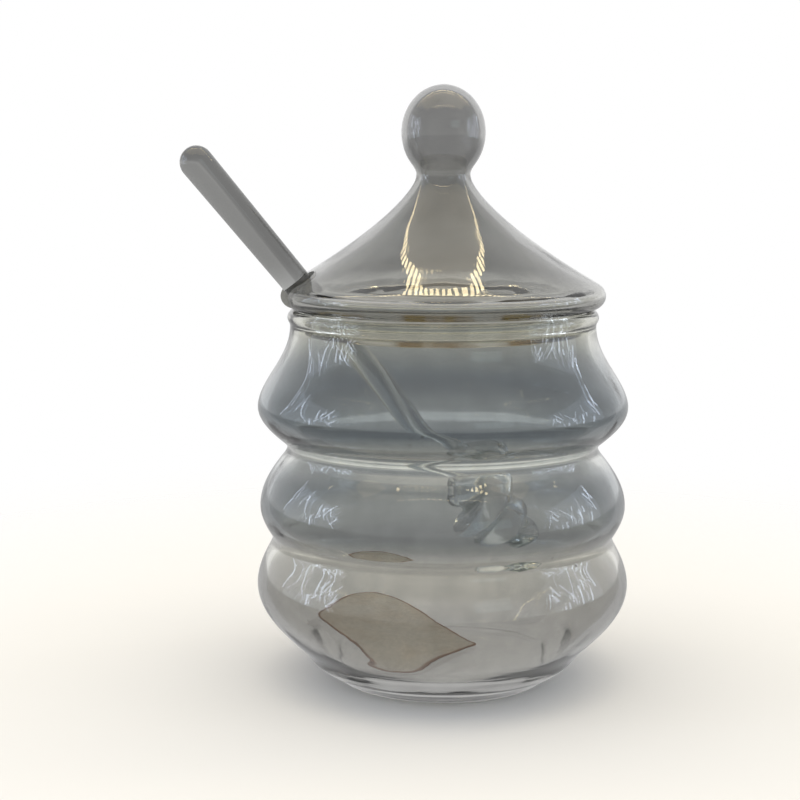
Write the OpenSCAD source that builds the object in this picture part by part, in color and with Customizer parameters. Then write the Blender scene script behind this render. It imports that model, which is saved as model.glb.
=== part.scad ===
// Blown glass honey pot: a pot of three stacked bulges, a loose domed lid with a ball knob
// and a notch in its edge, and a glass dipper whose head is a thread wound round its rod.
// Lengths are in millimetres. The pot stands on z = 0 and its axis is the z axis.

/* [Pot] */
// Radius of the flat base that the pot stands on
base_radius = 25.8; // [18:0.1:30]
// Radius of the waist where the foot meets the lowest bulge
foot_radius = 33.7; // [26:0.1:38]
// Height of that waist
foot_height = 6.8; // [4:0.1:12]
// Radius of the lowest bulge
low_bulge_radius = 45.2; // [36:0.1:60]
// Height of the lowest bulge's widest ring
low_bulge_height = 22.8; // [16:0.1:28]
// Radius of the crease between the lowest and the middle bulge
low_crease_radius = 40.8; // [32:0.1:50]
// Height of that crease
low_crease_height = 34.4; // [30:0.1:38]
// Radius of the middle bulge
mid_bulge_radius = 44.3; // [36:0.1:60]
// Height of the middle bulge's widest ring
mid_bulge_height = 42.6; // [40:0.1:48]
// Radius of the crease between the middle and the top bulge
high_crease_radius = 36.5; // [30:0.1:44]
// Height of that crease
high_crease_height = 56.8; // [52:0.1:60]
// Radius of the top bulge
high_bulge_radius = 44.7; // [36:0.1:60]
// Height of the top bulge's widest ring
high_bulge_height = 66.6; // [63:0.1:72]
// Outside radius of the neck
neck_radius = 36.6; // [30:0.1:42]
// Height where the shoulder has become the straight neck
neck_height = 85.8; // [80:0.1:90]
// How far each side of a crease its rounding reaches
crease_round = 1.1; // [0.3:0.1:2]
// Thickness of the blown wall
pot_wall = 2.2; // [1.6:0.1:3.2]
// Thickness of the glass under the inside of the pot
floor_thickness = 3.6; // [2.4:0.1:6]
// Section radius of the fire-polished bead round the mouth
bead_radius = 1.8; // [1.4:0.1:2.6]

/* [Lid] */
// Thickness of the lid's wall
lid_wall = 2.0; // [1.4:0.1:2.6]
// Room between the lid's flange and the inside of the bead
flange_clearance = 0.5; // [0.3:0.1:1.5]
// How far the flange reaches down below the seat
flange_drop = 6.0; // [4:0.1:10]
// Gap between the lid's seat and the top of the bead
seat_gap = 0.25; // [0.1:0.05:0.6]
// How far the lid's edge stands out past the middle of the bead
lip_overhang = 3.4; // [2:0.05:6]
// Half the width of the rounded edge
lip_half_width = 3.5; // [2.6:0.1:5]
// Half the height of the rounded edge
lip_half_height = 3.1; // [2.6:0.1:5]
// Rise of the domed hood from its edge to the neck below the knob
hood_rise = 25.2; // [16:0.1:36]
// Outside radius of the neck below the knob
knob_neck_radius = 6.4; // [4.5:0.1:9]
// Height of the straight neck on the hood
knob_neck_height = 0.8; // [0.4:0.1:3]
// Radius of the ball knob
knob_radius = 10.05; // [7:0.05:14]
// Half the height of the ball knob
knob_half_height = 11.3; // [7:0.1:15]
// Thickness of the ball knob's wall
knob_wall = 1.2; // [0.8:0.1:2]
// Room round the dipper's rod in the lid's notch
notch_clearance = 2.6; // [0.6:0.1:4]

/* [Dipper] */
// Lean of the rod from upright, in degrees
dipper_lean = 39.4; // [34:0.1:44]
// Turn of the notch and the rod about the pot's axis, in degrees
dipper_turn = 195; // [0:1:359]
// Rod radius at its free end
rod_top_radius = 3.9; // [2.5:0.05:5]
// Rod radius where it lies on the bead
rod_rest_radius = 3.4; // [2.2:0.05:4.5]
// Rod radius where the wound head starts
rod_head_radius = 2.5; // [1.8:0.05:3.2]
// Gap between the rod and the bead it lies on
rest_gap = 0.3; // [0.1:0.05:0.6]
// Length of the rod outside the bead, to the middle of its round end
rod_out_length = 42.9; // [25:0.1:60]
// Length of the rod from the bead to the middle of the wound head's first turn
rod_in_length = 59.4; // [40:0.1:66]
// Outside radius of the wound head
head_radius = 10.3; // [6:0.1:12]
// Half the thickness of the wound thread along the rod
thread_half_height = 3.35; // [1.8:0.05:3.8]
// Room between two turns of the thread
thread_room = 0.5; // [0.42:0.02:2]
// How deep the thread is fused into the rod
thread_sink = 0.12; // [0.05:0.01:0.3]
// Turns of the wound thread
head_turns = 3; // [2:0.25:4]

/* [Paper slip] */
// Length of the slip up its slope
slip_length = 43.4; // [30:0.2:48]
// Width of the slip
slip_width = 33.2; // [24:0.2:38]
// How far the slip reaches to the left of the line that runs up its slope past the pot's axis
slip_left = 24.4; // [16:0.2:26]
// Thickness of the slip
slip_thickness = 0.4; // [0.2:0.05:1]
// How far along each side a corner of the slip is rounded
slip_corner = 4; // [1:0.5:6]
// Lean of the slip from level, in degrees
slip_lean = 12; // [4:0.5:20]
// Way in which the slip climbs the wall, in degrees about the pot's axis
slip_turn = 129; // [0:1:359]
// Gap between the slip and the glass it lies on
slip_gap = 0.05; // [0.02:0.01:0.2]

/* [Hidden] */
$fn = 96;
// Steps along each half of a bulge, along the shoulder, the rounded edge, the hood and the knob
bulge_steps = 8;
shoulder_steps = 12;
lip_steps = 12;
hood_steps = 16;
knob_steps = 20;
bead_steps = 14;
// Steps along a side of the slip, where it is held clear of the wall
side_steps = 10;
// Shape of the shoulder, the heel and the hood, as powers of the share of the way along them
shoulder_power_share = 0.88;
heel_power_share = 1.2;
hood_power_share = 0.71;
// Turn of the outline, in degrees, from which it counts as a crease, and steps round a crease
crease_angle = 25;
crease_steps = 4;
// Most of a stretch of the outline that a crease's rounding may take
crease_share = 0.45;
// Share of the base radius that is flat on the inside
floor_flat_share = 0.92;
// Share of the flange's drop that rounds into the seat
flange_round_share = 0.2;
// Angle on the rounded edge where the hood takes over, in degrees
lip_end_angle = 66;
// Rings in one turn of the wound thread and sides of its section
thread_rings = 30;
thread_sides = 12;
// Share of a turn over which the thread swells from and sinks back into the rod
thread_start_share = 0.3;
thread_end_share = 0.5;
// Share of the head radius that the last turn keeps, and how late the turns get smaller
last_turn_share = 0.55;
// Corners of the slip, as shares of its length back from its upper end and of its width
slip_corner_shares = [[0, 0.75], [0.2, 1], [1, 0.92], [1, 0.29], [0.36, 0]];
turn_power_share = 1.5;

bead_middle_radius = neck_radius - pot_wall / 2;
bead_angle = acos(pot_wall / 2 / bead_radius);
bead_low = neck_height + (bead_radius - pot_wall / 2);
bead_height = bead_low + bead_radius * sin(bead_angle);
bead_top = bead_height + bead_radius;
seat_height = bead_top + seat_gap;
flange_radius = bead_middle_radius - bead_radius - flange_clearance;
flange_low = seat_height - flange_drop;
flange_round = flange_drop * flange_round_share;
lip_middle_radius = bead_middle_radius + lip_overhang - lip_half_width;
lip_middle_height = seat_height + lip_half_height;
lip_end = [lip_middle_radius + lip_half_width * cos(lip_end_angle),
           lip_middle_height + lip_half_height * sin(lip_end_angle)];
hood_top = lip_end[1] + hood_rise;
knob_base = hood_top + knob_neck_height;
knob_bore_radius = knob_neck_radius - lid_wall;
knob_start_angle = acos(knob_neck_radius / knob_radius);
knob_middle = knob_base + knob_neck_height + knob_half_height * sin(knob_start_angle);
rest_reach = bead_radius + rod_rest_radius + rest_gap;
rest_radius = bead_middle_radius - rest_reach * cos(dipper_lean);
rest_height = bead_height + rest_reach * sin(dipper_lean);
notch_radius = rod_rest_radius + notch_clearance;
head_pitch = 2 * thread_half_height + thread_room;
head_length = head_pitch * head_turns;
rod_tip = rod_in_length + head_length;
core_radius = rod_head_radius;

function unit(way) = way / norm(way);
function left_of(way) = [-way[1], way[0]];
function backwards(path) = [for (i = [len(path) - 1 : -1 : 0]) path[i]];
// Path with its creases rounded off
function turn_at(path, i) =
    let (before = unit(path[i] - path[i - 1]), after = unit(path[i + 1] - path[i]))
    acos(max(-1, min(1, before * after)));
function rounded(path, i, most) =
    let (before = path[i - 1] - path[i],
         after = path[i + 1] - path[i],
         reach = min(most, crease_share * norm(before), crease_share * norm(after)),
         start = path[i] + reach * unit(before),
         end = path[i] + reach * unit(after))
    [for (j = [0 : crease_steps])
        let (way = j / crease_steps)
        pow(1 - way, 2) * start + 2 * way * (1 - way) * path[i] + pow(way, 2) * end];
function soften(path) =
    [for (i = [0 : len(path) - 1])
        each (i == 0 || i == len(path) - 1 ? [path[i]]
            : turn_at(path, i) < crease_angle ? [path[i]]
            : rounded(path, i, crease_round))];
// Path moved to its left by a thickness, to make the inside of a wall from its outside
function inside_of(path, thick) =
    [for (i = [0 : len(path) - 1])
        let (before = path[max(i - 1, 0)], after = path[min(i + 1, len(path) - 1)])
        path[i] + thick * left_of(unit(after - before))];
// Half a bulge, from a crease out to the widest ring, and from the widest ring in to a crease
function swell(low_r, low_z, wide_r, wide_z) =
    [for (i = [0 : bulge_steps - 1])
        let (way = i / bulge_steps)
        [low_r + (wide_r - low_r) * sin(90 * way), low_z + (wide_z - low_z) * way]];
function narrow(wide_r, wide_z, high_r, high_z) =
    [for (i = [0 : bulge_steps - 1])
        let (way = i / bulge_steps)
        [high_r + (wide_r - high_r) * cos(90 * way), wide_z + (high_z - wide_z) * way]];

heel_path = [for (i = [0 : bulge_steps - 1])
    let (way = i / bulge_steps)
    [base_radius + (foot_radius - base_radius) * pow(sin(90 * way), heel_power_share),
     foot_height * way]];
shoulder_path = [for (i = [0 : shoulder_steps - 1])
    let (way = i / shoulder_steps)
    [neck_radius + (high_bulge_radius - neck_radius)
        * (1 + cos(180 * pow(way, shoulder_power_share))) / 2,
     high_bulge_height + (neck_height - high_bulge_height) * way]];
pot_outside = soften(concat(
    heel_path,
    swell(foot_radius, foot_height, low_bulge_radius, low_bulge_height),
    narrow(low_bulge_radius, low_bulge_height, low_crease_radius, low_crease_height),
    swell(low_crease_radius, low_crease_height, mid_bulge_radius, mid_bulge_height),
    narrow(mid_bulge_radius, mid_bulge_height, high_crease_radius, high_crease_height),
    swell(high_crease_radius, high_crease_height, high_bulge_radius, high_bulge_height),
    shoulder_path,
    [[neck_radius, neck_height], [neck_radius, bead_low]]));
pot_inside = [for (point = inside_of(pot_outside, pot_wall))
    if (point[1] > floor_thickness + pot_wall / 4) point];
bead_path = [for (i = [1 : bead_steps - 1])
    let (angle = -bead_angle + (180 + 2 * bead_angle) * i / bead_steps)
    [bead_middle_radius + bead_radius * cos(angle), bead_height + bead_radius * sin(angle)]];

lid_outside = concat(
    [[flange_radius, flange_low], [flange_radius, seat_height - flange_round]],
    [for (i = [1 : lip_steps / 2])
        let (angle = 180 - 90 * i / (lip_steps / 2))
        [flange_radius + flange_round + flange_round * cos(angle),
         seat_height - flange_round + flange_round * sin(angle)]],
    [for (i = [0 : lip_steps])
        let (angle = -90 + (90 + lip_end_angle) * i / lip_steps)
        [lip_middle_radius + lip_half_width * cos(angle),
         lip_middle_height + lip_half_height * sin(angle)]],
    [for (i = [1 : hood_steps])
        let (out = pow(1 - i / hood_steps, 1.6))
        [knob_neck_radius + (lip_end[0] - knob_neck_radius) * out,
         lip_end[1] + hood_rise * (1 - pow(out, hood_power_share))]],
    [[knob_neck_radius, knob_base]]);
lid_inside = inside_of(lid_outside, lid_wall);

knob_outside = concat(
    [[knob_neck_radius, knob_base]],
    [for (i = [0 : knob_steps])
        let (angle = -knob_start_angle + (90 + knob_start_angle) * i / knob_steps)
        [knob_radius * cos(angle), knob_middle + knob_half_height * sin(angle)]]);
knob_hollow_angle = acos(knob_bore_radius / (knob_radius - knob_wall));
knob_inside = concat(
    [[knob_bore_radius, knob_base]],
    [for (i = [0 : knob_steps])
        let (angle = -knob_hollow_angle + (90 + knob_hollow_angle) * i / knob_steps)
        [(knob_radius - knob_wall) * cos(angle),
         knob_middle + (knob_half_height - knob_wall) * sin(angle)]]);

// Wound thread: turns are counted from the handle's side, and lengths run down the rod
function thread_swell(turn) =
    min(1, sin(90 * min(1, turn / thread_start_share)),
        sin(90 * min(1, (head_turns - turn) / thread_end_share)));
function thread_out(turn) =
    core_radius + (head_radius - core_radius) * thread_swell(turn)
        * (1 - (1 - last_turn_share) * pow(turn / head_turns, turn_power_share));
function thread_ring(turn) =
    let (inner = core_radius - thread_sink,
         half = max(thread_sink, (thread_out(turn) - inner) / 2),
         tall = thread_half_height * (0.25 + 0.75 * thread_swell(turn)))
    [for (side = [0 : thread_sides - 1])
        let (angle = 360 * side / thread_sides,
             reach = inner + half + half * cos(angle),
             spin = -360 * turn)
        [reach * cos(spin), reach * sin(spin),
         -rod_in_length - head_pitch * turn + tall * sin(angle)]];
thread_count = head_turns * thread_rings;
thread_path = [for (i = [0 : thread_count]) thread_ring(i / thread_rings)];
thread_points = [for (ring = thread_path) each ring];
thread_faces = concat(
    [[for (side = [0 : thread_sides - 1]) side]],
    [for (i = [0 : thread_count - 1])
        for (side = [0 : thread_sides - 1])
            let (a = i * thread_sides + side,
                 b = i * thread_sides + (side + 1) % thread_sides,
                 c = b + thread_sides,
                 d = a + thread_sides)
            each [[a, d, b], [b, d, c]]],
    [[for (side = [thread_sides - 1 : -1 : 0]) thread_count * thread_sides + side]]);
thread_gap = min([for (i = [0 : thread_count - thread_rings])
    for (one = thread_path[i])
        for (other = thread_path[i + thread_rings])
            norm(one - other)]);
echo("least gap between turns of the thread", thread_gap);

// Outline of the slip, with its lengths counted back from its upper end
slip_corners = [for (share = slip_corner_shares)
    [-slip_length * share[0], slip_left - slip_width * share[1]]];
slip_ring = concat([slip_corners[len(slip_corners) - 1]], slip_corners, [slip_corners[0]]);
slip_outline = [for (i = [1 : len(slip_corners)]) each rounded(slip_ring, i, slip_corner)];
slip_edge = [for (i = [0 : len(slip_outline) - 1])
    for (j = [0 : side_steps - 1])
        let (way = j / side_steps, next = slip_outline[(i + 1) % len(slip_outline)])
        (1 - way) * slip_outline[i] + way * next];
slip_low = floor_thickness + slip_gap;
slip_high = slip_low + slip_length * sin(slip_lean);
wall_radii = [for (point = pot_inside) [point[1], point[0]]];
// How far out the slip's upper end can lie with no point of its edge in the wall
slip_far = min([for (point = slip_edge)
    let (wall = lookup(slip_high + point[0] * sin(slip_lean), wall_radii) - slip_gap)
    sqrt(pow(wall, 2) - pow(point[1], 2)) - point[0] * cos(slip_lean)]);

// Puts the dipper's own axis, which runs up the rod from where it lies on the bead, in its place
module place_dipper() {
    rotate([0, 0, dipper_turn])
        translate([rest_radius, 0, rest_height])
            rotate([0, dipper_lean, 0])
                children();
}

module pot_body() {
    color([0.80, 0.84, 0.83, 0.5])
        rotate_extrude()
            polygon(concat(
                [[0, 0]],
                pot_outside,
                bead_path,
                backwards(pot_inside),
                [[base_radius * floor_flat_share, floor_thickness], [0, floor_thickness]]));
}

module base_label() {
    color([0.72, 0.60, 0.50])
        rotate([0, 0, slip_turn])
            translate([slip_far, 0, slip_high])
                rotate([0, -slip_lean, 0])
                    linear_extrude(height = slip_thickness)
                        polygon(slip_outline);
}

// Slot for the rod: round over its top and open below, so that the lid lifts straight off it
module lid_notch() {
    reach_in = lip_half_width + lid_wall;
    reach_out = 3 * lip_half_width;
    rise = [reach_out * sin(dipper_lean), reach_out * cos(dipper_lean)];
    dip = [reach_in * sin(dipper_lean), reach_in * cos(dipper_lean)];
    place_dipper()
        translate([0, 0, -reach_in])
            cylinder(r = notch_radius, h = reach_in + reach_out);
    rotate([0, 0, dipper_turn])
        translate([rest_radius, 0, rest_height])
            rotate([90, 0, 0])
                linear_extrude(height = 2 * notch_radius, center = true)
                    polygon([[-dip[0], -dip[1]],
                             rise,
                             [rise[0] + notch_radius, rise[1]],
                             [rise[0] + notch_radius, -2 * flange_drop],
                             [-dip[0], -2 * flange_drop]]);
}

module lid_hood() {
    color([0.80, 0.84, 0.83, 0.5])
        difference() {
            rotate_extrude()
                polygon(concat(lid_outside, backwards(lid_inside)));
            lid_notch();
        }
}

module lid_knob() {
    color([0.80, 0.84, 0.83, 0.5])
        rotate_extrude()
            polygon(concat(knob_outside, backwards(knob_inside)));
}

module dipper_rod() {
    color([0.82, 0.86, 0.86, 0.5])
        place_dipper()
            rotate_extrude()
                polygon(concat(
                    [for (i = [0 : 6])
                        let (angle = -90 + 15 * i)
                        [core_radius * cos(angle), -rod_tip + core_radius * (1 + sin(angle))]],
                    [[rod_head_radius, -rod_in_length]],
                    [for (i = [1 : bulge_steps])
                        let (way = i / bulge_steps)
                        [rod_head_radius + (rod_rest_radius - rod_head_radius) * (1 - cos(90 * way)),
                         -rod_in_length * (1 - way)]],
                    [for (i = [0 : 8])
                        let (angle = 90 * i / 8)
                        [rod_top_radius * cos(angle), rod_out_length + rod_top_radius * sin(angle)]]));
}

module dipper_coil() {
    color([0.82, 0.86, 0.86, 0.5])
        place_dipper()
            polyhedron(points = thread_points, faces = thread_faces, convexity = 8);
}

pot_body();
base_label();
lid_hood();
lid_knob();
dipper_rod();
dipper_coil();
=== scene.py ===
import random
from math import acos, cos, exp, hypot, pi, radians, sin

import bmesh
import bpy
from mathutils import Matrix, Quaternion, Vector


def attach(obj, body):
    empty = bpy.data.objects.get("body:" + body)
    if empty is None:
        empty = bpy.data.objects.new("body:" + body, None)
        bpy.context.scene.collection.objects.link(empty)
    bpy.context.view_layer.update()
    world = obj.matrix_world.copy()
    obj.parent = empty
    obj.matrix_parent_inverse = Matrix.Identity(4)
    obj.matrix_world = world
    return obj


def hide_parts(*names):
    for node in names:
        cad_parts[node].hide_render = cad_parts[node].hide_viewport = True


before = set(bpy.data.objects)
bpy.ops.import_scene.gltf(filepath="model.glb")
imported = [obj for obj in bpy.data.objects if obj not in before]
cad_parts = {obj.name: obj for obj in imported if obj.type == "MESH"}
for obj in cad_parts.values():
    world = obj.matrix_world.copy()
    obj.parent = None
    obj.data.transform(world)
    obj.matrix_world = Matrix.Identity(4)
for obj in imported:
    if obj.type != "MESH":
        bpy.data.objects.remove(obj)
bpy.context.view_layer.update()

# Sizes of the pot in metres, with pairs as (radius, height)
BASE_RADIUS = 0.0258
BASE_RING_SHARES = (0, 0.5, 0.9, 0.98)
FOOT = (0.0337, 0.0068)
FOOT_POWER = 1.2
LOW_BULGE = (0.0452, 0.0228)
LOW_CREASE = (0.0408, 0.0344)
MID_BULGE = (0.0443, 0.0426)
HIGH_CREASE = (0.0365, 0.0568)
HIGH_BULGE = (0.0447, 0.0666)
NECK_RADIUS = 0.0366
NECK_HEIGHT = 0.0858
SHOULDER_POWER = 0.88
POT_WALL = 0.0022
FLOOR_THICKNESS = 0.0036
FLOOR_EDGE_SHARE = 0.92
FLOOR_RING_SHARES = (1.0, 0.9, 0.5, 0)
HEEL_HEIGHT = 0.0106
HEEL_REACH = 0.0030
HEEL_LIFT = 0.0003
BEAD_RADIUS = 0.0018
CREASE_SWELL = 0.0004
CREASE_REACH = 0.0030

# Sizes of the lid
LID_WALL = 0.0020
FLANGE_CLEARANCE = 0.0005
FLANGE_DROP = 0.0060
FLANGE_ROUND = 0.0012
FLANGE_RING_SHARES = (0.4, 0.6, 0.8, 1.0)
SEAT_GAP = 0.00025
LIP_OVERHANG = 0.0034
LIP_HALF_WIDTH = 0.0035
LIP_HALF_HEIGHT = 0.0031
LIP_END = radians(66)
HOOD_RISE = 0.0252
HOOD_POWER = 0.71
HOOD_SPACING = 1.6
KNOB_NECK_RADIUS = 0.0064
KNOB_NECK_HEIGHT = 0.0008
KNOB_RADIUS = 0.01005
KNOB_HALF_HEIGHT = 0.0113
KNOB_WALL = 0.0012
NOTCH_CLEARANCE = 0.0014

# Sizes of the dipper
DIPPER_LEAN = radians(39.4)
DIPPER_TURN = radians(195)
ROD_TOP_RADIUS = 0.0039
ROD_REST_RADIUS = 0.0034
ROD_HEAD_RADIUS = 0.0025
REST_GAP = 0.0003
ROD_OUT = 0.0429
ROD_IN = 0.0594
HEAD_RADIUS = 0.0103
HEAD_PITCH = 0.0072
HEAD_TURNS = 3
THREAD_HALF_HEIGHT = 0.00335
THREAD_SINK = 0.00012
THREAD_START_TURNS = 0.3
THREAD_END_TURNS = 0.5
THREAD_END_SHARE = 0.25
THREAD_THINNING = 0.45
THREAD_THINNING_POWER = 1.5
HEAD_FILL = 0.0024
FILL_POWER = 0.7
FILL_START_SHARE = 0.1
FILL_LENGTH_SHARE = 0.95
FILL_RING_SHARES = [0.12 + 0.04 * i for i in range(23)]

# Sizes of the paper slip: its corners lie back from its upper end and across its slope
SLIP_THICKNESS = 0.0004
SLIP_LEAN = radians(12)
SLIP_TURN = radians(129)
SLIP_FAR = 0.03778
SLIP_HIGH = 0.01267
SLIP_NEAR_LEFT = (-0.0472, 0.0223)
SLIP_NEAR_RIGHT = (-0.0466, -0.0057)
SLIP_FAR_LEFT = (-0.0140, 0.0226)
SLIP_FAR_RIGHT = (0.0059, -0.0099)
SLIP_NEAR_ROUNDINGS = (0.62, 0.1)
SLIP_FAR_ROUNDINGS = (0.2, 0.58)
SLIP_LIFT_SHARE = 0.7
SLIP_SOLID_SHARE = 0.6
SLIP_CURL = 0.0007
SLIP_WAVE = 0.0003
SLIP_WAVE_ALONG = 4
SLIP_WAVE_ACROSS = 2
SLIP_EDGE_CROWDING = 0.25

# How finely the shapes are divided
ROUND_STEPS = 144
BULGE_STEPS = 12
SHOULDER_STEPS = 18
BEAD_STEPS = 20
HEEL_STEPS = 8
FLANGE_STEPS = 5
SEAT_STEPS = 6
LIP_STEPS = 16
HOOD_STEPS = 30
KNOB_STEPS = 24
THINNING_STEPS = 15
NOTCH_STEPS = 48
ROD_TIP_STEPS = 8
ROD_TAPER_STEPS = 16
ROD_SHAFT_STEPS = 8
ROD_END_STEPS = 12
THREAD_RINGS = 48
THREAD_SIDES = 24
SLIP_STEPS_ALONG = 40
SLIP_STEPS_ACROSS = 30
MERGE_DISTANCE = 1e-6
SHARP_ANGLE = radians(50)

bead_middle = NECK_RADIUS - POT_WALL / 2
bead_angle = acos(POT_WALL / 2 / BEAD_RADIUS)
bead_low = NECK_HEIGHT + BEAD_RADIUS - POT_WALL / 2
bead_height = bead_low + BEAD_RADIUS * sin(bead_angle)
seat_height = bead_height + BEAD_RADIUS + SEAT_GAP
flange_radius = bead_middle - BEAD_RADIUS - FLANGE_CLEARANCE
flange_low = seat_height - FLANGE_DROP
lip_middle = (bead_middle + LIP_OVERHANG - LIP_HALF_WIDTH, seat_height + LIP_HALF_HEIGHT)
lip_end = (lip_middle[0] + LIP_HALF_WIDTH * cos(LIP_END),
           lip_middle[1] + LIP_HALF_HEIGHT * sin(LIP_END))
knob_base = lip_end[1] + HOOD_RISE + KNOB_NECK_HEIGHT
knob_start = acos(KNOB_NECK_RADIUS / KNOB_RADIUS)
knob_middle = knob_base + KNOB_NECK_HEIGHT + KNOB_HALF_HEIGHT * sin(knob_start)
rest_reach = BEAD_RADIUS + ROD_REST_RADIUS + REST_GAP
rest_radius = bead_middle - rest_reach * cos(DIPPER_LEAN)
rest_height = bead_height + rest_reach * sin(DIPPER_LEAN)
dipper_place = (Matrix.Rotation(DIPPER_TURN, 4, "Z")
                @ Matrix.Translation((rest_radius, 0, rest_height))
                @ Matrix.Rotation(DIPPER_LEAN, 4, "Y"))
rod_turn = (Matrix.Rotation(-DIPPER_LEAN, 3, "Y") @ Matrix.Rotation(-DIPPER_TURN, 3, "Z")).to_euler()


# Outlines are lists of (radius, height)

def relaxed(path, passes):
    """The outline with its corners softened, and its two ends kept."""
    for _ in range(passes):
        middle = [tuple(0.25 * before + 0.5 * here + 0.25 * after for before, here, after in zip(*three))
                  for three in zip(path, path[1:], path[2:])]
        path = [path[0]] + middle + [path[-1]]
    return path


def inside_of(path, walls):
    """The outline moved to its left by the thickness of the wall at each point."""
    out = []
    for i, ((radius, height), wall) in enumerate(zip(path, walls)):
        before, after = path[max(i - 1, 0)], path[min(i + 1, len(path) - 1)]
        across, up = after[0] - before[0], after[1] - before[1]
        length = hypot(across, up)
        out.append((radius - wall * up / length, height + wall * across / length))
    return out


def bulge_half(start, end, swelling):
    """Half a bulge, from a crease out to the widest ring or back from there in to a crease."""
    out = []
    for i in range(BULGE_STEPS):
        way = i / BULGE_STEPS
        share = sin(pi / 2 * way) if swelling else 1 - cos(pi / 2 * way)
        out.append((start[0] + (end[0] - start[0]) * share, start[1] + (end[1] - start[1]) * way))
    return out


def pot_outline():
    """From the middle of the base up the outside, round the bead and down the inside to the floor."""
    base = [(BASE_RADIUS * share, 0) for share in BASE_RING_SHARES]
    foot = [(BASE_RADIUS + (FOOT[0] - BASE_RADIUS) * sin(pi / 2 * i / BULGE_STEPS) ** FOOT_POWER,
             FOOT[1] * i / BULGE_STEPS) for i in range(BULGE_STEPS)]
    shoulder = []
    for i in range(SHOULDER_STEPS):
        share = (1 + cos(pi * (i / SHOULDER_STEPS) ** SHOULDER_POWER)) / 2
        shoulder.append((NECK_RADIUS + (HIGH_BULGE[0] - NECK_RADIUS) * share,
                         HIGH_BULGE[1] + (NECK_HEIGHT - HIGH_BULGE[1]) * i / SHOULDER_STEPS))
    outside = relaxed(
        foot
        + bulge_half(FOOT, LOW_BULGE, True) + bulge_half(LOW_BULGE, LOW_CREASE, False)
        + bulge_half(LOW_CREASE, MID_BULGE, True) + bulge_half(MID_BULGE, HIGH_CREASE, False)
        + bulge_half(HIGH_CREASE, HIGH_BULGE, True) + shoulder
        + [(NECK_RADIUS, NECK_HEIGHT), (NECK_RADIUS, bead_low)], passes=2)
    bead = []
    for i in range(1, BEAD_STEPS):
        angle = -bead_angle + (pi + 2 * bead_angle) * i / BEAD_STEPS
        bead.append((bead_middle + BEAD_RADIUS * cos(angle), bead_height + BEAD_RADIUS * sin(angle)))
    walls = [POT_WALL + sum(CREASE_SWELL * exp(-((height - crease[1]) / CREASE_REACH) ** 2)
                            for crease in (LOW_CREASE, HIGH_CREASE)) for _, height in outside]
    inside = [point for point in inside_of(outside, walls) if point[1] > HEEL_HEIGHT]
    floor_edge = BASE_RADIUS * FLOOR_EDGE_SHARE
    floor = [(floor_edge * share, FLOOR_THICKNESS) for share in FLOOR_RING_SHARES]
    heel_end = (floor_edge + HEEL_REACH, FLOOR_THICKNESS + HEEL_LIFT)
    heel = [tuple(start + (end - start) * i / HEEL_STEPS for start, end in zip(inside[0], heel_end))
            for i in range(1, HEEL_STEPS + 1)]
    return base + relaxed(outside + bead + inside[::-1] + heel + floor[:2], passes=1) + floor[2:]


def radius_at(path, height):
    """Radius of an outline that falls steadily, at a height on it."""
    for (above, high), (below, low) in zip(path, path[1:]):
        if low <= height <= high and high > low:
            return below + (above - below) * (height - low) / (high - low)
    return path[-1][0]


def ball_side(radius, half_height, start):
    """Side of the knob's ball, from an angle below its middle up to its top."""
    out = []
    for i in range(KNOB_STEPS + 1):
        angle = -start + (pi / 2 + start) * i / KNOB_STEPS
        out.append((radius * cos(angle) if i < KNOB_STEPS else 0, knob_middle + half_height * sin(angle)))
    return out


def lid_outline():
    """From the top of the knob down the outside, round the flange's foot and up the inside."""
    foot_middle = (flange_radius - LID_WALL / 2, flange_low + LID_WALL / 2)
    foot = []
    for i in range(FLANGE_STEPS + 1):
        angle = -pi / 2 + pi / 2 * i / FLANGE_STEPS
        foot.append((foot_middle[0] + LID_WALL / 2 * cos(angle),
                     foot_middle[1] + LID_WALL / 2 * sin(angle)))
    flange = [(flange_radius, flange_low + (FLANGE_DROP - FLANGE_ROUND) * share)
              for share in FLANGE_RING_SHARES]
    seat = []
    for i in range(1, SEAT_STEPS + 1):
        angle = pi - pi / 2 * i / SEAT_STEPS
        seat.append((flange_radius + FLANGE_ROUND + FLANGE_ROUND * cos(angle),
                     seat_height - FLANGE_ROUND + FLANGE_ROUND * sin(angle)))
    lip = []
    for i in range(LIP_STEPS + 1):
        angle = -pi / 2 + (pi / 2 + LIP_END) * i / LIP_STEPS
        lip.append((lip_middle[0] + LIP_HALF_WIDTH * cos(angle),
                    lip_middle[1] + LIP_HALF_HEIGHT * sin(angle)))
    hood = []
    for i in range(1, HOOD_STEPS + 1):
        out = (1 - i / HOOD_STEPS) ** HOOD_SPACING
        hood.append((KNOB_NECK_RADIUS + (lip_end[0] - KNOB_NECK_RADIUS) * out,
                     lip_end[1] + HOOD_RISE * (1 - out ** HOOD_POWER)))
    knob = ball_side(KNOB_RADIUS, KNOB_HALF_HEIGHT, knob_start)
    hollow_start = acos((KNOB_NECK_RADIUS - KNOB_WALL) / (KNOB_RADIUS - KNOB_WALL))
    hollow = ball_side(KNOB_RADIUS - KNOB_WALL, KNOB_HALF_HEIGHT - KNOB_WALL, hollow_start)
    shell = foot[2:] + flange + seat + lip + hood
    outside = relaxed(shell + [(KNOB_NECK_RADIUS, knob_base)] + knob, passes=2)
    walls = [LID_WALL] * (len(shell) - THINNING_STEPS)
    walls += [LID_WALL + (KNOB_WALL - LID_WALL) * i / THINNING_STEPS for i in range(THINNING_STEPS)]
    inside = inside_of(shell, walls) + [(KNOB_NECK_RADIUS - KNOB_WALL, knob_base)] + hollow
    inside = relaxed(inside, passes=2)
    return outside[::-1] + [foot[0]] + inside


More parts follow.
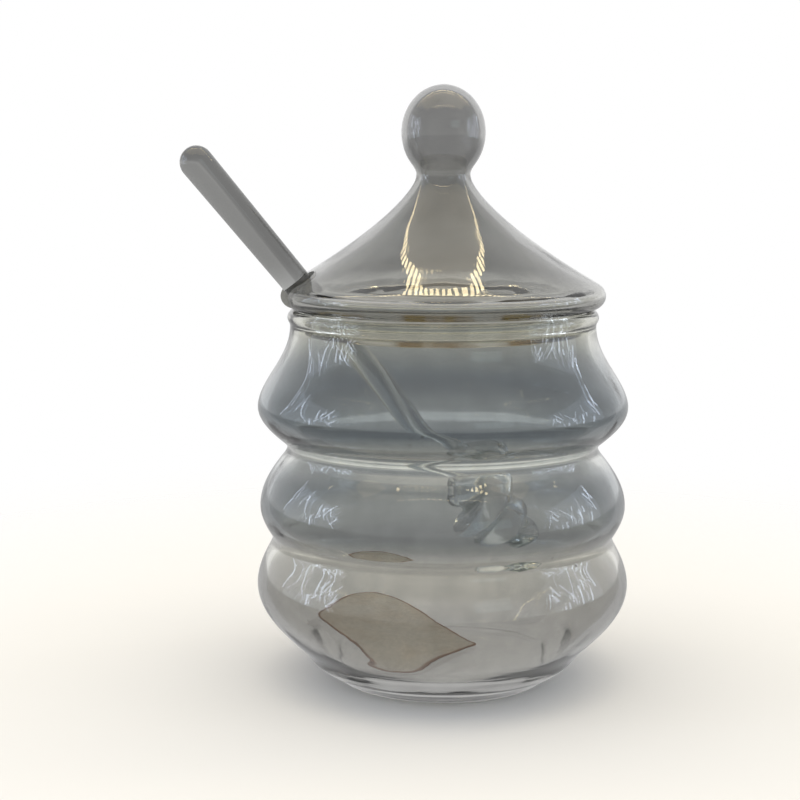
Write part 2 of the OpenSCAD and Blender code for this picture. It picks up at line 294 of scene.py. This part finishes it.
def spun(name, outline):
    """A closed round piece from its outline, whose two ends lie on the axis."""
    mesh = bmesh.new()
    points = [mesh.verts.new((radius, 0, height)) for radius, height in outline]
    edges = [mesh.edges.new(pair) for pair in zip(points, points[1:])]
    bmesh.ops.spin(mesh, geom=points + edges, cent=(0, 0, 0), axis=(0, 0, 1),
                   angle=2 * pi, steps=ROUND_STEPS, use_merge=True)
    bmesh.ops.remove_doubles(mesh, verts=mesh.verts, dist=MERGE_DISTANCE)
    bmesh.ops.recalc_face_normals(mesh, faces=mesh.faces)
    return placed(name, mesh)


def placed(name, mesh):
    """An object with the mesh, shaded smooth apart from its sharp edges."""
    data = bpy.data.meshes.new(name)
    mesh.to_mesh(data)
    mesh.free()
    data.shade_smooth()
    data.set_sharp_from_angle(angle=SHARP_ANGLE)
    piece = bpy.data.objects.new(name, data)
    bpy.context.scene.collection.objects.link(piece)
    return piece


def combined(piece, other, operation):
    """Cuts the other shape from the piece, or joins it on, and drops the other shape."""
    change = piece.modifiers.new("combine", "BOOLEAN")
    change.object = other
    change.operation = operation
    change.solver = "EXACT"
    change.material_mode = "TRANSFER"
    graph = bpy.context.evaluated_depsgraph_get()
    data = bpy.data.meshes.new_from_object(piece.evaluated_get(graph))
    piece.modifiers.clear()
    old = piece.data
    piece.data = data
    bpy.data.meshes.remove(old)
    bpy.data.objects.remove(other)
    piece.data.shade_smooth()
    piece.data.set_sharp_from_angle(angle=SHARP_ANGLE)


def notch_cutter():
    """Slot for the rod, round over its top and open below."""
    notch = ROD_REST_RADIUS + NOTCH_CLEARANCE
    reach_in = LIP_HALF_WIDTH + LID_WALL
    reach_out = 3 * LIP_HALF_WIDTH
    mesh = bmesh.new()
    bmesh.ops.create_cone(mesh, cap_ends=True, segments=NOTCH_STEPS, radius1=notch, radius2=notch,
                          depth=reach_in + reach_out)
    bmesh.ops.translate(mesh, verts=mesh.verts, vec=(0, 0, (reach_out - reach_in) / 2))
    bmesh.ops.transform(mesh, matrix=dipper_place, verts=mesh.verts)
    round_part = placed("notch_round", mesh)
    dip = (reach_in * sin(DIPPER_LEAN), reach_in * cos(DIPPER_LEAN))
    rise = (reach_out * sin(DIPPER_LEAN), reach_out * cos(DIPPER_LEAN))
    mesh = bmesh.new()
    corners = [(-dip[0], -dip[1]), rise, (rise[0] + notch, rise[1]),
               (rise[0] + notch, -2 * FLANGE_DROP), (-dip[0], -2 * FLANGE_DROP)]
    side = mesh.faces.new([mesh.verts.new((x, -notch, z)) for x, z in corners])
    grown = bmesh.ops.extrude_face_region(mesh, geom=[side])
    moved = [point for point in grown["geom"] if isinstance(point, bmesh.types.BMVert)]
    bmesh.ops.translate(mesh, verts=moved, vec=(0, 2 * notch, 0))
    bmesh.ops.recalc_face_normals(mesh, faces=mesh.faces)
    bmesh.ops.transform(mesh, verts=mesh.verts, matrix=Matrix.Rotation(DIPPER_TURN, 4, "Z")
                        @ Matrix.Translation((rest_radius, 0, rest_height)))
    slot_part = placed("notch_slot", mesh)
    combined(slot_part, round_part, "UNION")
    return slot_part


def rod_outline():
    """From the tip in the head, up the head's core and the tapered shaft to the free end."""
    tip = -(ROD_IN + HEAD_PITCH * HEAD_TURNS)
    end = []
    for i in range(ROD_TIP_STEPS + 1):
        angle = -pi / 2 + pi / 2 * i / ROD_TIP_STEPS
        end.append((ROD_HEAD_RADIUS * cos(angle) if i else 0, tip + ROD_HEAD_RADIUS * (1 + sin(angle))))
    core = []
    for share in FILL_RING_SHARES:
        swell = sin(pi * min(1, max(0, share - FILL_START_SHARE) / FILL_LENGTH_SHARE)) ** FILL_POWER
        core.append((ROD_HEAD_RADIUS + HEAD_FILL * swell, tip + (-ROD_IN - tip) * share))
    taper = []
    for i in range(1, ROD_TAPER_STEPS + 1):
        share = 1 - cos(pi / 2 * i / ROD_TAPER_STEPS)
        taper.append((ROD_HEAD_RADIUS + (ROD_REST_RADIUS - ROD_HEAD_RADIUS) * share,
                      -ROD_IN * (1 - i / ROD_TAPER_STEPS)))
    shaft = [(ROD_REST_RADIUS + (ROD_TOP_RADIUS - ROD_REST_RADIUS) * i / ROD_SHAFT_STEPS,
              ROD_OUT * i / ROD_SHAFT_STEPS) for i in range(1, ROD_SHAFT_STEPS)]
    top = []
    for i in range(ROD_END_STEPS + 1):
        angle = pi / 2 * i / ROD_END_STEPS
        top.append((ROD_TOP_RADIUS * cos(angle) if i < ROD_END_STEPS else 0,
                    ROD_OUT + ROD_TOP_RADIUS * sin(angle)))
    return end + core + taper + shaft + top


def thread_swell(turn):
    """Share of the thread's full thickness, which runs out at both of its ends."""
    start = sin(pi / 2 * min(1, turn / THREAD_START_TURNS))
    end = sin(pi / 2 * min(1, (HEAD_TURNS - turn) / THREAD_END_TURNS))
    return min(start, end)


def wound_thread():
    """The thread of the dipper's head, wound down the rod from the handle's side."""
    inner = ROD_HEAD_RADIUS - THREAD_SINK
    full = (HEAD_RADIUS - inner) / 2
    mesh = bmesh.new()
    made = bmesh.ops.create_circle(mesh, segments=THREAD_SIDES, radius=1)
    bmesh.ops.rotate(mesh, verts=made["verts"], cent=(0, 0, 0),
                     matrix=Matrix.Rotation(pi / 2, 3, "X"))
    bmesh.ops.scale(mesh, verts=made["verts"], vec=(full, 1, THREAD_HALF_HEIGHT))
    bmesh.ops.translate(mesh, verts=made["verts"], vec=(inner + full, 0, -ROD_IN))
    bmesh.ops.spin(mesh, geom=mesh.verts[:] + mesh.edges[:], cent=(0, 0, 0), axis=(0, 0, -1),
                   angle=2 * pi * HEAD_TURNS, steps=THREAD_RINGS * HEAD_TURNS,
                   dvec=(0, 0, -HEAD_PITCH / THREAD_RINGS))
    mesh.verts.ensure_lookup_table()
    for index, vert in enumerate(mesh.verts):
        turn = (index // THREAD_SIDES) / THREAD_RINGS
        swell = thread_swell(turn)
        thinned = 1 - THREAD_THINNING * (turn / HEAD_TURNS) ** THREAD_THINNING_POWER
        reach = max(2 * THREAD_SINK, (HEAD_RADIUS - inner) * swell * thinned)
        far = hypot(vert.co.x, vert.co.y)
        share = (inner + (far - inner) * reach / (2 * full)) / far
        middle = -ROD_IN - HEAD_PITCH * turn
        vert.co.x *= share
        vert.co.y *= share
        flattened = THREAD_END_SHARE + (1 - THREAD_END_SHARE) * swell
        vert.co.z = middle + (vert.co.z - middle) * flattened
    ends = [edge for edge in mesh.edges if edge.is_boundary]
    bmesh.ops.holes_fill(mesh, edges=ends, sides=THREAD_SIDES)
    bmesh.ops.recalc_face_normals(mesh, faces=mesh.faces)
    return placed("wound_thread", mesh)


def paper_slip():
    """The slip with its rounded corners, a little curled, lying on the floor and against the wall."""
    mesh = bmesh.new()
    bmesh.ops.create_grid(mesh, x_segments=SLIP_STEPS_ALONG, y_segments=SLIP_STEPS_ACROSS, size=1)
    worn = mesh.verts.layers.float.new("worn_edge")
    for vert in mesh.verts:
        along, across = [way * (1 + SLIP_EDGE_CROWDING - SLIP_EDGE_CROWDING * way ** 2)
                         for way in vert.co.xy]
        vert[worn] = max(abs(along), abs(across))
        roundings = SLIP_NEAR_ROUNDINGS if along < 0 else SLIP_FAR_ROUNDINGS
        corner = roundings[0] if across < 0 else roundings[1]
        past = Vector((abs(along) - 1 + corner, abs(across) - 1 + corner)) / corner
        if past.x > 0 and past.y > 0:
            past *= max(past) / past.length
            along = (1 - corner + corner * past.x) * (1 if along > 0 else -1)
            across = (1 - corner + corner * past.y) * (1 if across > 0 else -1)
        up_slope = (along + 1) / 2
        left = Vector(SLIP_NEAR_LEFT).lerp(SLIP_FAR_LEFT, up_slope)
        right = Vector(SLIP_NEAR_RIGHT).lerp(SLIP_FAR_RIGHT, up_slope)
        flat = left.lerp(right, (across + 1) / 2)
        wave = 1 + sin(SLIP_WAVE_ALONG * along + SLIP_WAVE_ACROSS * across)
        vert.co = (flat.x, flat.y, (SLIP_CURL * across ** 2 + SLIP_WAVE * wave) * up_slope)
    bmesh.ops.transform(mesh, verts=mesh.verts, matrix=Matrix.Rotation(SLIP_TURN, 4, "Z")
                        @ Matrix.Translation((SLIP_FAR, 0, SLIP_HIGH + SLIP_THICKNESS * SLIP_LIFT_SHARE))
                        @ Matrix.Rotation(-SLIP_LEAN, 4, "Y"))
    rest = FLOOR_THICKNESS + SLIP_THICKNESS
    whole = pot_outline()
    inside = whole[whole.index(max(whole, key=lambda point: point[1])):]
    for vert in mesh.verts:
        above = vert.co.z - rest
        vert.co.z = rest + (above + hypot(above, SLIP_THICKNESS)) / 2
        far = hypot(vert.co.x, vert.co.y)
        past = far - radius_at(inside, vert.co.z) + SLIP_THICKNESS
        share = 1 - (past + hypot(past, SLIP_THICKNESS)) / 2 / far
        vert.co.x *= share
        vert.co.y *= share
    bmesh.ops.solidify(mesh, geom=mesh.faces[:], thickness=SLIP_THICKNESS * SLIP_SOLID_SHARE)
    bmesh.ops.recalc_face_normals(mesh, faces=mesh.faces)
    return placed("paper_slip", mesh)


# Materials: a scale is in features per metre, and a tint is what one glass surface lets through

# Painted light: the glass is tinted grey to stand in for a grey backdrop seen through it, and the bands
# paint light and shade by height: lighter at the foot and the neck, light lines at the two creases, and
# darkest on the upper bulge
POT_PAINTED_TINTS = [
    (0.000, (0.94, 0.94, 0.92)), (0.007, (0.91, 0.90, 0.87)), (0.013, (0.745, 0.735, 0.695)),
    (0.023, (0.675, 0.665, 0.635)), (0.0344, (0.95, 0.94, 0.87)), (0.042, (0.475, 0.505, 0.518)),
    (0.050, (0.475, 0.505, 0.52)), (0.0568, (0.92, 0.93, 0.89)), (0.066, (0.36, 0.40, 0.425)),
    (0.076, (0.44, 0.468, 0.48)), (0.086, (0.83, 0.83, 0.755)), (0.091, (0.83, 0.83, 0.745))]
# Painted light: nearly clear down the flange, inside the pot, and grey over the hood and knob, standing
# in for a grey backdrop seen through them
LID_PAINTED_TINTS = [
    (0.083, (0.92, 0.91, 0.85)), (0.090, (0.86, 0.85, 0.80)), (0.0935, (0.75, 0.75, 0.71)),
    (0.097, (0.48, 0.48, 0.465)), (0.121, (0.48, 0.48, 0.465)), (0.127, (0.46, 0.46, 0.455)),
    (0.143, (0.46, 0.46, 0.455))]
# Painted light: nearly clear on the head inside the pot and grey up the rod outside it, standing in for a
# grey backdrop seen through the rod
DIPPER_PAINTED_TINTS = [
    (0.020, (0.985, 0.99, 0.985)), (0.058, (0.96, 0.97, 0.96)), (0.085, (0.70, 0.71, 0.70)),
    (0.103, (0.275, 0.275, 0.268)), (0.140, (0.275, 0.275, 0.268))]
GLASS_INDEX = 1.5
CORD_SCALE = 200
SEED_SCALE = 230
SEED_CLUSTER_SCALE = 60
SEED_TINT = (0.14, 0.13, 0.11)
SMUDGE_SCALE = 55
SMUDGE_ROUGHNESS = 0.05
WAVE_SCALE = 62
FINE_WAVE_SCALE = 240
FINE_WAVE_SHARE = 0.05
RIPPLE_DEPTH = 0.0012
RESIDUE_SCALE = 45
RESIDUE_TINT = (0.32, 0.18, 0.025)
RESIDUE_RISE = (0.0010, 0.0020)
RESIDUE_FRONT = (-0.014, -0.004)
# Painted shade in the grooves between the turns of the dipper's head
GROOVE_SHADE_TINT = (0.50, 0.54, 0.52)
GROOVE_RADII = (0.0054, 0.0072)
GROOVE_FADE = (-0.002, 0.001)
GROUND_SCALE = 1500
GROUND_GREYS = ((0.40, 0.40, 0.38), (0.50, 0.50, 0.48))
STAIN_SCALE = 90
PAPER_TANS = ((0.98, 0.91, 0.81), (0.92, 0.80, 0.66))
PAPER_EDGE = (0.40, 0.22, 0.14)
FIBRE_SCALE = 900
PAPER_BUMP_SCALE = 700
PAPER_BUMP_DEPTH = 0.0002


def node(tree, kind, **values):
    """A node with its settings and unlinked inputs set by name."""
    made = tree.nodes.new(kind)
    for name, value in values.items():
        if hasattr(made, name):
            setattr(made, name, value)
        else:
            made.inputs[name.replace("_", " ")].default_value = value
    return made


def new_material(name):
    made = bpy.data.materials.new(name)
    made.use_nodes = True
    tree = made.node_tree
    shader = tree.nodes["Principled BSDF"]
    return made, tree, shader


def noise(tree, where, scale, detail=3.0):
    """Soft cloudy noise from 0 to 1."""
    made = node(tree, "ShaderNodeTexNoise", Scale=scale, Detail=detail)
    tree.links.new(where, made.inputs["Vector"])
    return made.outputs["Fac"]


def ranged(tree, value, low, high, to_low, to_high):
    """A value carried smoothly from one range to another, and held at its ends."""
    made = node(tree, "ShaderNodeMapRange", interpolation_type="SMOOTHSTEP")
    for index, number in enumerate((low, high, to_low, to_high), start=1):
        made.inputs[index].default_value = number
    tree.links.new(value, made.inputs[0])
    return made.outputs[0]


def blended(tree, share, first, second, blend="MIX"):
    """A mix of two colours, each a socket or a written colour."""
    made = node(tree, "ShaderNodeMix", data_type="RGBA", blend_type=blend)
    for socket, value in ((made.inputs[0], share), (made.inputs[6], first), (made.inputs[7], second)):
        if isinstance(value, bpy.types.NodeSocket):
            tree.links.new(value, socket)
        elif isinstance(value, tuple):
            socket.default_value = (*value, 1.0)
        else:
            socket.default_value = value
    return made.outputs[2]


def times(tree, first, second, operation="MULTIPLY"):
    """Two numbers multiplied, or put together by another sum, each a socket or a written number."""
    made = node(tree, "ShaderNodeMath", operation=operation)
    for socket, value in zip(made.inputs, (first, second)):
        if isinstance(value, bpy.types.NodeSocket):
            tree.links.new(value, socket)
        else:
            socket.default_value = value
    return made.outputs[0]


def banded(tree, height, bands):
    """A colour that follows the height through bands of (height, colour)."""
    low, high = bands[0][0], bands[-1][0]
    share = times(tree, times(tree, height, low, "SUBTRACT"), high - low, "DIVIDE")
    ramp = node(tree, "ShaderNodeValToRGB")
    tree.links.new(share, ramp.inputs[0])
    stops = ramp.color_ramp.elements
    ramp.color_ramp.interpolation = "EASE"
    for index, (level, colour) in enumerate(bands):
        place = (level - low) / (high - low)
        stop = stops[0] if index == 0 else stops.new(place) if index < len(bands) - 1 else stops[-1]
        stop.color = (*colour, 1)
    return ramp.outputs[0]


def stretched(tree, where, turn, stretch):
    """Coordinates turned, then drawn out along the turned height."""
    turned = node(tree, "ShaderNodeMapping")
    turned.inputs["Rotation"].default_value = turn
    tree.links.new(where, turned.inputs["Vector"])
    drawn = node(tree, "ShaderNodeVectorMath", operation="MULTIPLY")
    drawn.inputs[1].default_value = (1, 1, stretch)
    tree.links.new(turned.outputs[0], drawn.inputs[0])
    return drawn.outputs[0]


def ground_glass():
    """Finely ground cut faces, grey and matt."""
    made, tree, shader = new_material("ground_glass")
    where = node(tree, "ShaderNodeTexCoord").outputs["Object"]
    grain = ranged(tree, noise(tree, where, GROUND_SCALE), 0.3, 0.7, 0, 1)
    tree.links.new(blended(tree, grain, *GROUND_GREYS), shader.inputs["Base Color"])
    shader.inputs["Roughness"].default_value = 0.45
    return made


def painted_grey_glass(name, bands, ripples, grey, cord=0.09, turn=(0, 0, 0), stretch=0.45):
    """Blown glass with a grey cast painted to stand in for a grey backdrop seen through it, shifting with
    height as painted light and shade, with cords, ripples, smudges and seeds.
    """
    made, tree, shader = new_material(name)
    where = node(tree, "ShaderNodeTexCoord").outputs["Object"]
    parts = node(tree, "ShaderNodeSeparateXYZ")
    tree.links.new(where, parts.inputs[0])
    height = parts.outputs["Z"]
    tint = banded(tree, height, bands)
    cords = stretched(tree, where, turn, stretch)
    cloud = ranged(tree, noise(tree, cords, CORD_SCALE), 0.3, 0.7, 1 - cord, 1.0)
    tint = blended(tree, 1.0, tint, cloud, "MULTIPLY")
    seeds = node(tree, "ShaderNodeTexVoronoi", Scale=SEED_SCALE)
    tree.links.new(where, seeds.inputs["Vector"])
    rare = ranged(tree, noise(tree, where, SEED_CLUSTER_SCALE), 0.64, 0.7, 0, 1)
    speck = times(tree, ranged(tree, seeds.outputs["Distance"], 0.05, 0.14, 1, 0), rare)
    tint = blended(tree, speck, tint, SEED_TINT)
    tree.links.new(tint, shader.inputs["Base Color"])
    smudge = ranged(tree, noise(tree, where, SMUDGE_SCALE, 6.0), 0.5, 0.8, 0.0, SMUDGE_ROUGHNESS)
    tree.links.new(smudge, shader.inputs["Roughness"])
    wave = noise(tree, where, WAVE_SCALE, 1.0)
    fine = noise(tree, cords, FINE_WAVE_SCALE, 1.0)
    together = times(tree, wave, times(tree, fine, FINE_WAVE_SHARE), "ADD")
    ripple = node(tree, "ShaderNodeBump", Strength=ripples, Distance=RIPPLE_DEPTH)
    tree.links.new(together, ripple.inputs["Height"])
    tree.links.new(ripple.outputs[0], shader.inputs["Normal"])
    shader.inputs["Transmission Weight"].default_value = 1.0
    shader.inputs["IOR"].default_value = GLASS_INDEX
    depth = node(tree, "ShaderNodeVolumeAbsorption", Density=grey)
    depth.inputs["Color"].default_value = (0, 0, 0, 1)
    tree.links.new(depth.outputs[0], tree.nodes["Material Output"].inputs["Volume"])
    return made, tree, shader, where, height, tint


def add_residue(parts):
    """Patches of dried amber honey on the lower edge of the lid's flange."""
    _, tree, shader, where, height, tint = parts
    band = ranged(tree, height, flange_low + RESIDUE_RISE[0], flange_low + RESIDUE_RISE[1], 1, 0)
    split = node(tree, "ShaderNodeSeparateXYZ")
    tree.links.new(where, split.inputs[0])
    band = times(tree, band, ranged(tree, split.outputs["Y"], *RESIDUE_FRONT, 1, 0))
    patches = ranged(tree, noise(tree, where, RESIDUE_SCALE), 0.43, 0.52, 0, 1)
    tint = blended(tree, times(tree, band, patches), tint, RESIDUE_TINT)
    tree.links.new(tint, shader.inputs["Base Color"])


def add_groove_shade(parts):
    """Painted shade: darker glass down in the grooves between the head's turns."""
    _, tree, shader, where, _, tint = parts
    upright = node(tree, "ShaderNodeMapping")
    upright.inputs["Rotation"].default_value = rod_turn
    upright.inputs["Location"].default_value = -(rod_turn.to_matrix() @ dipper_place.translation)
    tree.links.new(where, upright.inputs["Vector"])
    split = node(tree, "ShaderNodeSeparateXYZ")
    tree.links.new(upright.outputs[0], split.inputs[0])
    flat = node(tree, "ShaderNodeCombineXYZ")
    tree.links.new(split.outputs["X"], flat.inputs["X"])
    tree.links.new(split.outputs["Y"], flat.inputs["Y"])
    away = node(tree, "ShaderNodeVectorMath", operation="LENGTH")
    tree.links.new(flat.outputs[0], away.inputs[0])
    deep = ranged(tree, away.outputs["Value"], *GROOVE_RADII, 1, 0)
    head = ranged(tree, split.outputs["Z"], GROOVE_FADE[0] - ROD_IN, GROOVE_FADE[1] - ROD_IN, 1, 0)
    tint = blended(tree, times(tree, deep, head), tint, GROOVE_SHADE_TINT)
    tree.links.new(tint, shader.inputs["Base Color"])


def tan_paper():
    """Stained, fibrous paper with a darker worn edge."""
    made, tree, shader = new_material("tan_paper")
    where = node(tree, "ShaderNodeTexCoord").outputs["Object"]
    stain = ranged(tree, noise(tree, where, STAIN_SCALE, 5.0), 0.35, 0.7, 0, 1)
    colour = blended(tree, stain, *PAPER_TANS)
    worn = node(tree, "ShaderNodeAttribute", attribute_name="worn_edge").outputs["Fac"]
    colour = blended(tree, ranged(tree, worn, 0.94, 0.99, 0, 1), colour, PAPER_EDGE)
    fibre = ranged(tree, noise(tree, where, FIBRE_SCALE, 4.0), 0.3, 0.7, 0.88, 1.0)
    colour = blended(tree, 1.0, colour, fibre, "MULTIPLY")
    tree.links.new(colour, shader.inputs["Base Color"])
    shader.inputs["Roughness"].default_value = 0.85
    rough = node(tree, "ShaderNodeBump", Strength=0.4, Distance=PAPER_BUMP_DEPTH)
    tree.links.new(noise(tree, where, PAPER_BUMP_SCALE, 4.0), rough.inputs["Height"])
    tree.links.new(rough.outputs[0], shader.inputs["Normal"])
    return made


# Pieces

pot = spun("pot_glass", pot_outline())
lid = spun("lid_glass", lid_outline())
dipper = spun("dipper_glass", rod_outline())
combined(dipper, wound_thread(), "UNION")
dipper.data.materials.clear()
dipper.data.transform(dipper_place)
slip = paper_slip()

pot_glass = painted_grey_glass("pot_glass", POT_PAINTED_TINTS, ripples=0.22, grey=28)
lid_glass = painted_grey_glass("lid_glass", LID_PAINTED_TINTS, ripples=0.22, grey=40)
add_residue(lid_glass)
dipper_glass = painted_grey_glass("dipper_glass", DIPPER_PAINTED_TINTS, ripples=0.05, grey=6, cord=0.16,
                           turn=rod_turn, stretch=0.05)
add_groove_shade(dipper_glass)
pot.data.materials.append(pot_glass[0])
lid.data.materials.append(lid_glass[0])
dipper.data.materials.append(dipper_glass[0])
notch = notch_cutter()
notch.data.materials.clear()
notch.data.materials.append(ground_glass())
combined(lid, notch, "DIFFERENCE")
slip.data.materials.append(tan_paper())

for piece, body, slot, nodes in (
        (pot, "pot", "clear_glass", ["pot_body"]),
        (lid, "lid", "clear_glass", ["lid_hood", "lid_knob"]),
        (dipper, "dipper", "clear_glass", ["dipper_rod", "dipper_coil"]),
        (slip, "pot", "tan_paper", ["base_label"])):
    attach(piece, body)
    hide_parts(*nodes)


# Studio: a pale floor that fades into a white surround, cool folded foil at both sides, rows of warm
# lamp cells above and one window in front

POT_MIDDLE = (0, 0, 0.07)
COOL = (0.72, 0.82, 1.0)
WARM = (1.0, 0.82, 0.48)
WINDOW_BLUE = (0.72, 0.95, 1.0)
FLOOR_HALF_WIDTH = 3.0
FLOOR_GAP = 0.0003
FLOOR_GREY = 0.86
FLOOR_FADE = (0.10, 0.30)
FLOOR_SEEN_FROM = (0.2, 2.5)
FLOOR_GLOW_SHADE_LEVELS = (0.55, 1.0)
SURROUND_LEVELS = (0.85, 1.0)
FOIL_AWAY = 0.86
FOIL_ALONG = (-0.34, 0.38)
FOIL_HEIGHTS = (0.0, 0.45)
FOLD_WIDTHS = (0.007, 0.026)
FOLD_LENGTHS = (0.08, 0.30)
FOLD_RADIANCES = (1.5, 5.0)
FOLD_ROLLS = (-0.5, 0.5)
PANEL_AWAY = 0.88
PANEL_BACK = 0.02
PANEL_HEIGHT = 0.22
PANEL_SIZE = (0.70, 0.60)
PANEL_RADIANCE = 0.5
LAMP_HEIGHT = 0.73
GLOW_HEIGHT = 0.74
AIM_BACK = 0.0001
SENSOR_WIDTH = 36.0
FOCAL_PIXELS = 1705
PHOTO_PIXELS = 800
VIEWER_PLACE = (0, -0.408, 0.12919)
VIEWER_DIP_DEGREES = 8.604
VIEWER_TURN_DEGREES = 1.445


def studio_floor():
    """A floor that keeps the shadow near the pot; through the glass and in reflections it glows instead,
    with painted shade making that glow pale grey near the pot and white far off.
    """
    mesh = bmesh.new()
    bmesh.ops.create_grid(mesh, x_segments=1, y_segments=1, size=FLOOR_HALF_WIDTH)
    bmesh.ops.translate(mesh, verts=mesh.verts, vec=(0, 0, -FLOOR_GAP))
    floor = placed("studio_floor", mesh)
    made, tree, shader = new_material("pale_floor")
    shader.inputs["Base Color"].default_value = (FLOOR_GREY, FLOOR_GREY, FLOOR_GREY, 1)
    shader.inputs["Roughness"].default_value = 0.9
    shader.inputs["Specular IOR Level"].default_value = 0.1
    where = node(tree, "ShaderNodeTexCoord").outputs["Object"]
    away = node(tree, "ShaderNodeVectorMath", operation="LENGTH")
    tree.links.new(where, away.inputs[0])
    fade = ranged(tree, away.outputs["Value"], *FLOOR_FADE, 0, 1)
    clear = node(tree, "ShaderNodeBsdfTransparent")
    mixed = node(tree, "ShaderNodeMixShader")
    tree.links.new(fade, mixed.inputs[0])
    tree.links.new(shader.outputs[0], mixed.inputs[1])
    tree.links.new(clear.outputs[0], mixed.inputs[2])
    path = node(tree, "ShaderNodeLightPath")
    white = node(tree, "ShaderNodeEmission")
    # Painted shade: the glow seen through the glass is dimmed near the pot, where the real floor lies in
    # shade
    level = ranged(tree, away.outputs["Value"], *FLOOR_SEEN_FROM, *FLOOR_GLOW_SHADE_LEVELS)
    tree.links.new(level, white.inputs["Strength"])
    through = node(tree, "ShaderNodeMixShader")
    in_glass = times(tree, path.outputs["Is Transmission Ray"], path.outputs["Is Glossy Ray"], "MAXIMUM")
    tree.links.new(in_glass, through.inputs[0])
    tree.links.new(mixed.outputs[0], through.inputs[1])
    tree.links.new(white.outputs[0], through.inputs[2])
    tree.links.new(through.outputs[0], tree.nodes["Material Output"].inputs["Surface"])
    floor.data.materials.append(made)


def softbox(name, place, aim, width, height, radiance, colour, roll=0.0):
    """A flat lamp that faces its aim and is turned about that line by the roll."""
    lamp = bpy.data.lights.new(name, "AREA")
    lamp.shape = "RECTANGLE"
    lamp.size = width
    lamp.size_y = height
    lamp.energy = radiance * pi * width * height
    lamp.color = colour
    holder = bpy.data.objects.new(name, lamp)
    holder.location = place
    facing = (Vector(aim) - Vector(place)).to_track_quat("-Z", "Y")
    holder.rotation_euler = (facing @ Quaternion((0, 0, 1), roll)).to_euler()
    bpy.context.scene.collection.objects.link(holder)


def overhead(name, across, back, height, width, depth, radiance):
    """A warm lamp above, facing down."""
    softbox(name, (across, back, height), (across, back + AIM_BACK, 0), width, depth, radiance, WARM)


def lamp_row(name, count, step, back, width, depth, radiance):
    """A level row of small lamps above, evenly spaced to the pot's left and right."""
    for i in range(count):
        overhead(name, (i - (count - 1) / 2) * step, back, LAMP_HEIGHT, width, depth, radiance)


def foil_wall(side, folds, chance):
    """A cool panel to one side, with bright folds scattered over it."""
    softbox("wall_panel", (side * PANEL_AWAY, PANEL_BACK, PANEL_HEIGHT), POT_MIDDLE, *PANEL_SIZE,
            PANEL_RADIANCE, COOL)
    for _ in range(folds):
        along = chance.uniform(*FOIL_ALONG)
        height = chance.uniform(*FOIL_HEIGHTS)
        width = chance.uniform(*FOLD_WIDTHS)
        length = chance.uniform(*FOLD_LENGTHS)
        radiance = chance.uniform(*FOLD_RADIANCES)
        roll = chance.uniform(*FOLD_ROLLS)
        softbox("foil_fold", (side * FOIL_AWAY, along, height), POT_MIDDLE, width, length, radiance,
                COOL, roll)


def white_surround():
    """A white world, a little dimmer as a light than as it is seen."""
    world = bpy.data.worlds.new("white_surround")
    world.use_nodes = True
    bpy.context.scene.world = world
    tree = world.node_tree
    path = node(tree, "ShaderNodeLightPath")
    seen = times(tree, path.outputs["Is Camera Ray"], path.outputs["Is Glossy Ray"], "MAXIMUM")
    seen = times(tree, seen, path.outputs["Is Transmission Ray"], "MAXIMUM")
    strength = ranged(tree, seen, 0, 1, *SURROUND_LEVELS)
    back = tree.nodes["Background"]
    back.inputs["Color"].default_value = (1, 1, 1, 1)
    tree.links.new(strength, back.inputs["Strength"])


studio_floor()
white_surround()
chance = random.Random(5)
foil_wall(-1, 28, chance)
foil_wall(1, 22, chance)
lamp_row("lamp_cell", count=80, step=0.019, back=0.25, width=0.011, depth=0.030, radiance=11.0)
lamp_row("lamp_front", count=18, step=0.0375, back=-0.33, width=0.020, depth=0.026, radiance=10.0)
overhead("lamp_glow", 0, -0.02, GLOW_HEIGHT, width=1.20, depth=0.55, radiance=0.7)
softbox("front_window", (0.50, -0.80, 0.42), POT_MIDDLE, width=0.40, height=0.26, radiance=0.5,
        colour=WINDOW_BLUE)

# Enough bounces that light isn't lost inside the thick glass edges
bounces = bpy.context.scene.cycles
bounces.max_bounces = 24
bounces.transmission_bounces = 24
bounces.glossy_bounces = 16

camera = bpy.data.cameras.new("camera")
camera.sensor_width = SENSOR_WIDTH
camera.lens = FOCAL_PIXELS / PHOTO_PIXELS * SENSOR_WIDTH
camera.clip_start = 0.01
viewer = bpy.data.objects.new("camera", camera)
viewer.location = VIEWER_PLACE
viewer.rotation_euler = (radians(90 - VIEWER_DIP_DEGREES), 0, radians(VIEWER_TURN_DEGREES))
bpy.context.scene.collection.objects.link(viewer)
bpy.context.scene.camera = viewer
bpy.context.scene.view_settings.view_transform = "Standard"
